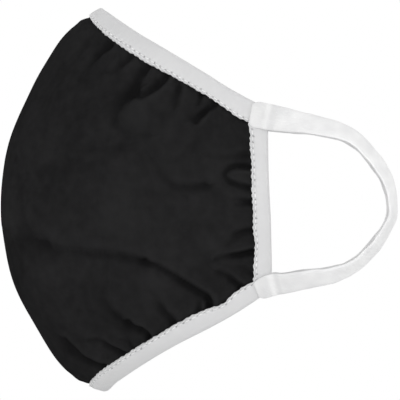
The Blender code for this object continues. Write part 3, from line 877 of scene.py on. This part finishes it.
def tape_layout(tape, where, run):
    """Insets and heights of the section's points at each step, and their places across the tape."""
    base, share, height, sides = tape_section(tape.row)
    where, run = where[:, None], run[:, None]
    row = row_inset(tape, where)
    reach = from_table(tape.reach, where) * np.clip(1 - base / tape.row, 0, 1)
    inset = base * row / tape.row - reach
    inset = inset + share * (lip_inset(tape, where, run) - row)
    around = tape.row - base - share * NOMINAL_LIP
    pressed = 1 - 0.3 * share * np.abs(sides) * hill(where, 0.07)
    height = (height + CLOTH / 2) * pressed - CLOTH / 2
    return inset, height + sides * pucker(tape, run, -around), around


print("Points round the tape:", len(tape_section(NOSE_ROW)[0]))

# %% [markdown]
# The nose and chin tapes run from one side edge to the other over the centre seam. They are laid in
# steps of a fraction of a stitch, so the puckers are real shape and catch the light from any side.
# A little past each side edge the slot is closed and the fold rounded off, like a tucked-in end.

# %% Nose and chin tapes
STEPS_A_STITCH, RUN_INSET = 8, 3 * MM
TAPE_END_STEPS = np.array([0.12, 0.25, 0.36, 0.45]) * MM
SHUT_OVER, END_ROUND = 1.0 * MM, 0.35 * MM


def run_of(points):
    return travelled(points, 0) * MM


def edge_run(tape):
    """Even steps along half an edge, as across values, and the distance to each."""
    fine = np.linspace(0, 1, 2000)
    run = run_of(surface(fine, tape.share_at(fine, RUN_INSET)))
    count = int(round(run[-1] / tape.stitch * STEPS_A_STITCH))
    distance = np.linspace(0, run[-1], count + 1)
    return np.interp(distance, run, fine), distance


def past_the_edge(across, run):
    """Adds the last rings of a tape, past the side edge: how shut and how rounded each ring is."""
    past = run[-1] + TAPE_END_STEPS
    rate = (across[-1] - across[-2]) / (run[-1] - run[-2])
    across = np.concatenate([across, 1 + TAPE_END_STEPS * rate])
    rounded = np.concatenate([0 * run, np.linspace(0, 1, len(past)) ** 2])
    run = np.concatenate([run, past])
    shut = eased((run - past[0]) / SHUT_OVER + 1)
    return across, run, shut[:, None], rounded[:, None]


def long_tape_rings(tape):
    """The tape's rings from the right side edge to the left one, and their places on the flat tape."""
    across, run = edge_run(tape)
    last_hole = (np.floor(run[-1] / tape.stitch) - 1.25) * tape.stitch
    across, run, shut, rounded = past_the_edge(across, run)
    in_slot = tape_section(tape.row)[3] == 0
    halves = []
    for way in (-1, 1):
        inset, lift, around = tape_layout(tape, across, run * way)
        lift = (lift + CLOTH / 2) * (1 - 0.96 * shut * in_slot) * (1 - 0.45 * rounded) - CLOTH / 2
        inset = inset + END_ROUND * rounded * np.cos(pi * inset / tape.row)
        ring = skin(across[:, None], tape.share_at(across[:, None], inset), lift)
        halves.append(ring * np.array([way, 1.0, 1.0]))
    rings = np.concatenate([halves[0][:0:-1], halves[1]])
    unpierced = np.minimum(run, last_hole)
    return rings, np.concatenate([-unpierced[:0:-1], unpierced]), around


LONG_TAPES = (
    ("nose_tape", "top_binding", NOSE_TAPE),
    ("chin_tape", "bottom_binding", CHIN_TAPE),
)
for name, node, tape in LONG_TAPES:
    rings, runs, around = long_tape_rings(tape)
    piece = add_tube(name, rings, runs * STITCH / tape.stitch, around, tape_finish)
    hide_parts(node)
    print(name, "is", round((runs[-1] - runs[0]) / MM), "mm long in", len(rings), "rings")

# %% [markdown]
# ## Side tapes
# The side tapes are sewn on first, so the nose and chin tapes close over their ends. They are swept
# up the side edge in the same way, between those two tapes.

# %% Side tapes
SIDE_TAPES = {
    side: TapeRun(inside_side_edge, SIDE_ROW, SIDE_LIP, SIDE_REACH, 2.25 * MM, seed)
    for side, seed in (("left", 21), ("right", 22))
}
SIDE_RUN, TUCKED_UNDER = 56 * MM, 0.1 * MM


def height_share(share):
    """About how far up the mask a side tape has come, a share of the way along it."""
    return 0.1 + 0.78 * share


def between_long_tapes(across, share):
    """Heights between the chin tape's lip and the nose tape's lip."""
    low = above_chin_edge(across, from_table(CHIN_LIP, across) - TUCKED_UNDER)
    high = below_nose_edge(across, from_table(NOSE_LIP, across) - TUCKED_UNDER)
    return low + (high - low) * share


def side_place(tape, share, inset):
    """Across and up of a point on a side tape, a share of the way up it."""
    across = tape.share_at(share, inset)
    return across, between_long_tapes(across, share)


for side, tape in SIDE_TAPES.items():
    shares = np.linspace(0, 1, int(SIDE_RUN / tape.stitch * STEPS_A_STITCH))
    inset, lift, around = tape_layout(tape, height_share(shares), shares * SIDE_RUN)
    rings = skin(*side_place(tape, shares[:, None], inset), lift)
    runs = shares * SIDE_RUN * STITCH / tape.stitch
    piece = add_tube(f"side_tape_{side}", rings, runs, around, tape_finish, side == "right")
    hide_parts(f"side_binding_{side}")
    print(f"side_tape_{side}:", len(rings), "rings")


# %% [markdown]
# ## Ear loops
# A loop is one length of flat tape. Its ends lie flat on the mask, over the tapes at the corners,
# and on the way round it turns on its edge, because a flat tape bends far more easily over its flat
# than along it. So its width is swept along a curve while it turns, most at the back.

# %% The loop's path
LOOP_WIDTH, LOOP_THICKNESS = 8.9 * MM, 1.6 * MM
LOOP_SPREAD = 61.0 * MM
SewnEnd = namedtuple("SewnEnd", "share_at length start_inset leaving_inset widths")
TOP_END = SewnEnd(below_nose_edge, 6.5 * MM, 4.1 * MM, 1.9 * MM, (7.4, 9.4, 9.7, 9.8))
BOTTOM_END = SewnEnd(above_chin_edge, 5.4 * MM, 3.3 * MM, 2.35 * MM, (5.3, 7.4, 8.0, 8.3))
SEWN_LIFT = 0.05 * MM
LOOP_STEPS = 270

# y and z in mm, the tape's width in mm, and how many degrees it has turned on its edge
LOOP_ROWS = (
    (6.0, 29.55, 8.9, 4), (11.1, 28.75, 8.4, 24), (16.7, 27.7, 8.6, 39), (22.2, 26.5, 8.9, 47),
    (26.6, 25.3, 8.9, 54), (30.3, 23.4, 8.9, 61), (34.0, 20.6, 8.9, 65), (37.7, 16.9, 8.9, 67),
    (41.0, 12.0, 8.9, 68), (43.6, 7.4, 8.9, 72), (45.1, 2.9, 8.9, 76), (45.7, -1.5, 8.9, 78),
    (45.4, -5.7, 8.9, 77), (44.1, -9.3, 8.9, 74), (41.6, -13.7, 8.9, 70), (38.0, -18.2, 8.9, 65),
    (33.8, -22.7, 8.9, 62), (29.6, -25.5, 8.9, 57), (25.1, -27.1, 8.9, 49), (20.3, -28.3, 8.9, 43),
    (14.8, -29.3, 8.8, 36), (9.3, -30.2, 8.6, 30), (4.5, -30.9, 8.4, 20),
)
# the row that lies furthest back
BACK_ROW = 11


def sewn_rows(end):
    """Four places of a loop's sewn end, from its inner end outwards: point, width, turn, facing."""
    lift = GAP + TAPE + LOOP_THICKNESS / 2 + SEWN_LIFT
    shares = np.linspace(0, 1, 4)
    insets = end.start_inset + (end.leaving_inset - end.start_inset) * shares
    across = inside_side_edge(end.share_at(1.0, insets), end.length * (1 - shares))
    up = end.share_at(across, insets)
    widths = np.array(end.widths) * MM
    return np.column_stack([skin(across, up, lift), widths, 0 * widths, normal(across, up)])


def unit(vector):
    return vector / length_of(vector)[..., None]


def loop_path():
    """The left loop at even steps: middle line, width, turn, and facing before the turn."""
    top, bottom = sewn_rows(TOP_END), sewn_rows(BOTTOM_END)[::-1]
    free = np.array(LOOP_ROWS)
    view = np.concatenate([top[-1:, 1:3] / MM, free[:, :2], bottom[:1, 1:3] / MM])
    run = travelled(view, 0)
    back = run[BACK_ROW + 1]
    to_back = np.where(run < back, run / back, (run[-1] - run) / (run[-1] - back))
    start_x = np.where(run < back, top[-1, 0], bottom[0, 0])
    x = start_x + (LOOP_SPREAD - start_x) * (1 - (1 - to_back) ** 2)
    share = (run / run[-1])[:, None]
    facing = top[-1, 5:] * (1 - share) + bottom[0, 5:] * share
    rows = np.column_stack([x, view * MM, 0 * run, 0 * run, facing])[1:-1]
    rows[:, 3], rows[:, 4] = free[:, 2] * MM, np.radians(free[:, 3])
    fine = drawn_line(np.concatenate([top, rows, bottom]), 1500)
    length = run_of(fine[:, :3])
    even = np.linspace(0, length[-1], LOOP_STEPS)
    path = np.stack([np.interp(even, length, column) for column in fine.T], axis=-1)
    return path[:, :3], path[:, 3], path[:, 4], path[:, 5:]


def loop_frames():
    """Middle line, width, and the ways across and out of the tape at each step of the loop."""
    points, widths, turns, outs = loop_path()
    ways = unit(np.gradient(points, axis=0))
    sideways = unit(outs - ways * (outs * ways).sum(axis=-1)[:, None])
    outward = np.cross(sideways, ways)
    away = ((points - points.mean(axis=0)) * outward).sum(axis=-1)
    outward = outward * np.sign(away)[:, None]
    flat = sideways * np.cos(turns)[:, None] + outward * np.sin(turns)[:, None]
    return points, widths, np.cross(ways, flat), flat


# %% [markdown]
# The tape is a soft knit, so it isn't a board: it swells between its edges, its edges are rounded,
# and near the mask it rides up over the side tape and dips behind it.

# %% Ear loops
SEWN_THINNER, SEWN_OVER, FREE_FROM = 0.78, 4 * MM, 8 * MM
LOOP_SWELL = 0.18 * MM
# how far past the mask's edge the tape rides up or dips, over how far, and how much, in mm
LOOP_RIDES = ((-0.2, 1.0, 0.30), (2.6, 1.5, -0.40), (6.5, 2.0, 0.20), (10.5, 2.4, -0.20))


def loop_section():
    """Round the tape's section: a share of the width, and the height in shares of the thickness."""
    turn = np.linspace(0, 2 * pi, 36, endpoint=False)
    wide = np.sign(np.cos(turn)) * np.abs(np.cos(turn)) ** 0.5
    thick = np.sin(turn)
    return wide / 2, thick / 2


def add_loop(name, node, flip, seed):
    points, widths, edge, flat = loop_frames()
    run = run_of(points)
    wide, thick = loop_section()
    left = run[-1] - run
    thickness = LOOP_THICKNESS * (1 - SEWN_THINNER * (hill(run, SEWN_OVER) + hill(left, SEWN_OVER)))
    free = eased((run - FREE_FROM) / FREE_FROM) * eased((left - FREE_FROM) / FREE_FROM)
    height = (thickness - LOOP_THICKNESS) / 2 + LOOP_SWELL * waves(run * 0.45, seed + 1) * free
    for distance, end in ((run, TOP_END), (left, BOTTOM_END)):
        for past, reach, rise in LOOP_RIDES:
            height += rise * MM * hill(distance - end.length - past * MM, reach * MM)
    across = (widths * (1 + 0.010 * waves(run, seed)))[:, None] * wide
    out = thickness[:, None] * thick + height[:, None]
    rings = points[:, None] + edge[:, None] * across[..., None] + flat[:, None] * out[..., None]
    piece = add_tube(name, rings, run - run[-1] / 2, wide * LOOP_WIDTH, loop_tape, flip)
    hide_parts(node)
    print(name, "is", round(run[-1] / MM), "mm long")


add_loop("ear_tape_left", "ear_loop_left", False, 41)
add_loop("ear_tape_right", "ear_loop_right", True, 42)


# %% [markdown]
# ## Stitches
# A sewing machine lays thread from hole to hole. Each stitch is a short round of thread, lowest at
# its ends where it goes down into the holes. Curves with a bevel would draw them too, but plain
# rings of points let every stitch of one row be in one mesh.

# %% Thread between the holes
THREAD_RINGS, THREAD_SIDES = 7, 6
THREAD_BOW, THREAD_SUNK = 0.34 * MM, 0.30 * MM


def add_stitches(name, starts, ends, outs, thickness, flip=False):
    """A thread from each start to each end, bowed outwards along outs."""
    share = np.linspace(0, 1, THREAD_RINGS)
    bow = (np.sin(pi * share) ** 0.6)[:, None]
    turn = np.linspace(0, 2 * pi, THREAD_SIDES, endpoint=False)
    points, faces, cut = [], [], []
    for start, end, out in zip(starts, ends, outs):
        way = unit(end - start)
        beside = unit(np.cross(way, out))
        line = start + (end - start) * share[:, None] + out * (bow * THREAD_BOW - THREAD_SUNK)
        thin = thickness / 2 * (0.5 + 0.5 * np.sin(pi * share))[:, None, None]
        spokes = np.cos(turn)[:, None] * beside + np.sin(turn)[:, None] * out
        first = len(points) * THREAD_RINGS * THREAD_SIDES
        points.append((line[:, None] + thin * spokes).reshape(-1, 3))
        number = np.arange(THREAD_RINGS * THREAD_SIDES).reshape(THREAD_RINGS, THREAD_SIDES) + first
        faces += quads_between(closed_round(number)).tolist()
        faces += [number[0].tolist(), number[-1].tolist()]
    for face in faces:
        for corner in face:
            ring, spoke = divmod(corner % (THREAD_RINGS * THREAD_SIDES), THREAD_SIDES)
            cut.append((ring * 0.35, spoke * 0.2))
    add_piece(name, np.concatenate(points), faces, cut, thread, flip)
    print(name, "has", len(starts), "stitches")


def lay_stitches(name, seam, flip=False, sides=(1, -1)):
    """Two rows of stitches: the main one, and finer ones nearer the lip, half a stitch along."""
    place, stitch, first, last = seam
    for row, shift, length, thickness in (("row", 0, 0.68, 0.36 * MM), ("lip", 0.5, 0.5, 0.32 * MM)):
        middles = (np.arange(np.ceil(first / stitch), np.floor(last / stitch)) + 0.5 + shift) * stitch
        starts, ends, outs = [], [], []
        for side in sides:
            half = length / 2 * stitch
            begin, out = place(middles - half, side, row)
            starts.append(begin)
            ends.append(place(middles + half, side, row)[0])
            outs.append(out * side)
        joined = (np.concatenate(part) for part in (starts, ends, outs))
        add_stitches(f"{name}_{row}", *joined, thickness, flip)


def seam_inset(tape, where, run, row):
    """The main row's inset, or that of the finer row nearer the lip."""
    inset = row_inset(tape, where)
    if row == "lip":
        inset = inset + 0.62 * (lip_inset(tape, where, run) - inset)
    return inset


def face_height(side):
    """Where the tape's outer face (1) or inner face (-1) lies above the cloth."""
    return GAP + TAPE if side > 0 else -CLOTH - GAP - TAPE


def long_seam(tape):
    """Where the stitches of a nose or chin tape go: a place for each run, the stitch and the ends."""
    across_table, run_table = edge_run(tape)

    def place(run, side, row):
        across = np.interp(np.abs(run), run_table, across_table)
        up = tape.share_at(across, seam_inset(tape, across, run, row))
        mirror = np.stack([np.where(run < 0, -1.0, 1.0), across * 0 + 1, across * 0 + 1], -1)
        return skin(across, up, face_height(side)) * mirror, normal(across, up) * mirror

    return place, tape.stitch, -run_table[-1] + 1 * MM, run_table[-1] - 1 * MM


lay_stitches("nose_stitches", long_seam(NOSE_TAPE))
lay_stitches("chin_stitches", long_seam(CHIN_TAPE))


# %% [markdown]
# The side tapes' seams run up the side edges, on both faces, like those of the long tapes.

# %% Side seams
def side_seam(tape):
    def place(run, side, row):
        share = run / SIDE_RUN
        inset = seam_inset(tape, height_share(share), run, row)
        across, up = side_place(tape, share, inset)
        return skin(across, up, face_height(side)), normal(across, up)

    return place, tape.stitch, 0, SIDE_RUN


for side, tape in SIDE_TAPES.items():
    lay_stitches(f"side_stitches_{side}", side_seam(tape), side == "right")

# %% [markdown]
# A loop's ends are sewn through loop, tape and cloth. The thread sinks into the soft knit, so only
# one stitch shows at each end, lying along the tape.

# %% Loop stitches
LOOP_STITCH, STITCH_DEPTH = 2.4 * MM, 0.55 * LOOP_THICKNESS / 2


def loop_stitch(name, top, inwards, offset, flip):
    """The stitch that shows on a sewn end, this far from the end and from the middle line."""
    points, _, edge, flat = loop_frames()
    if not top:
        points, edge, flat = points[::-1], edge[::-1], flat[::-1]
    line = points + edge * offset - flat * STITCH_DEPTH
    run = run_of(points)
    ends = np.array([inwards - 0.3 * LOOP_STITCH, inwards + 0.3 * LOOP_STITCH])
    ends = np.stack([np.interp(ends, run, line[:, axis]) for axis in range(3)], -1)
    out = flat[np.searchsorted(run, inwards)]
    add_stitches(name, ends[:1], ends[1:], out[None], 0.34 * MM, flip)


for side, flip in (("left", False), ("right", True)):
    loop_stitch(f"top_loop_stitch_{side}", True, 3.9 * MM, -2.6 * MM, flip)
    loop_stitch(f"bottom_loop_stitch_{side}", False, 3.4 * MM, -1.6 * MM, flip)

# %% [markdown]
# ## Camera, light and floor
# The mask was pictured level from its left side, from far away, on white. A long lens far off keeps
# the near and the far half the same size.

# %% Camera
FRAME_WIDTH = 148.6 * MM
DISTANCE = 6.5
SWING = radians(0.25)
TARGET = Vector((0.0, -0.0257, 0.0))

camera_data = bpy.data.cameras.new("side_camera")
camera_data.sensor_width = 36.0
camera_data.lens = 36.0 * DISTANCE / FRAME_WIDTH
camera_data.clip_start = 0.1
camera_data.clip_end = 40.0
camera = bpy.data.objects.new("side_camera", camera_data)
toward_camera = Vector((cos(SWING), sin(SWING), 0.0))
camera.location = TARGET + DISTANCE * toward_camera
camera.rotation_euler = toward_camera.to_track_quat("Z", "Y").to_euler()
scene = bpy.context.scene
scene.collection.objects.link(camera)
scene.camera = camera
print("Lens:", round(camera_data.lens), "mm")

# %% [markdown]
# The surroundings were white, so the world is too, and a little dimmer straight up and down. Soft
# light from all round would leave black cloth flat, so two lamps stand level with the mask, one at
# each side, and draw out the folds. Two weaker ones behind it brighten the loops.

# %% Light
CEILING, LEVEL, STEEP = 0.76, 0.10, 0.42
LAMP_POWER, BACK_LAMP_POWER = 7.5, 2.8
MASK_MIDDLE = Vector((0, -0.03, 0))
world = bpy.data.worlds.new("white_room")
world.use_nodes = True
nodes, links = world.node_tree.nodes, world.node_tree.links
looking = nodes.new("ShaderNodeTexCoord")
parts = nodes.new("ShaderNodeSeparateXYZ")
steepness = nodes.new("ShaderNodeMath")
steepness.operation = "ABSOLUTE"
glow = nodes.new("ShaderNodeMapRange")
glow.interpolation_type = "SMOOTHSTEP"
for socket, value in (("From Min", LEVEL), ("From Max", STEEP), ("To Min", 1.0), ("To Max", CEILING)):
    glow.inputs[socket].default_value = value
links.new(looking.outputs["Generated"], parts.inputs[0])
links.new(parts.outputs["Z"], steepness.inputs[0])
links.new(steepness.outputs[0], glow.inputs["Value"])
links.new(glow.outputs["Result"], nodes["Background"].inputs["Strength"])
nodes["Background"].inputs["Color"].default_value = (1.0, 1.0, 1.0, 1.0)
scene.world = world
scene.view_settings.view_transform = "Standard"


def add_lamp(name, place, size, power):
    data = bpy.data.lights.new(name, "AREA")
    data.shape = "DISK"
    data.size = size
    data.energy = power
    lamp = bpy.data.objects.new(name, data)
    lamp.location = place
    lamp.rotation_euler = (Vector(place) - MASK_MIDDLE).to_track_quat("Z", "Y").to_euler()
    scene.collection.objects.link(lamp)


for side, mirror in (("left", 1), ("right", -1)):
    add_lamp(f"lamp_{side}", (1.30 * mirror, -0.40, -0.02), 0.7, LAMP_POWER)
    add_lamp(f"back_lamp_{side}", (0.80 * mirror, 1.35, 0.02), 0.6, BACK_LAMP_POWER)

# %% [markdown]
# The mask hangs in the air, opened as if it were worn. A pale floor lies below the picture and sends
# some light up under the chin.

# %% Floor
FLOOR_RADIUS, FLOOR_HEIGHT = 1.5, -0.105
floor_finish = Finish("pale_floor", "none", Roughness=0.9, Specular_IOR_Level=0.2)
floor_finish.shader.inputs["Base Color"].default_value = tint(0.92)
floor_mesh = bpy.data.meshes.new("floor")
shaped = bmesh.new()
bmesh.ops.create_circle(shaped, cap_ends=True, radius=FLOOR_RADIUS, segments=128)
shaped.to_mesh(floor_mesh)
shaped.free()
floor_mesh.materials.append(floor_finish.material)
floor = bpy.data.objects.new("floor", floor_mesh)
floor.location = (0, MASK_MIDDLE.y, FLOOR_HEIGHT)
scene.collection.objects.link(floor)
print("The floor lies", round(-FLOOR_HEIGHT / MM), "mm below the middle of the mask")
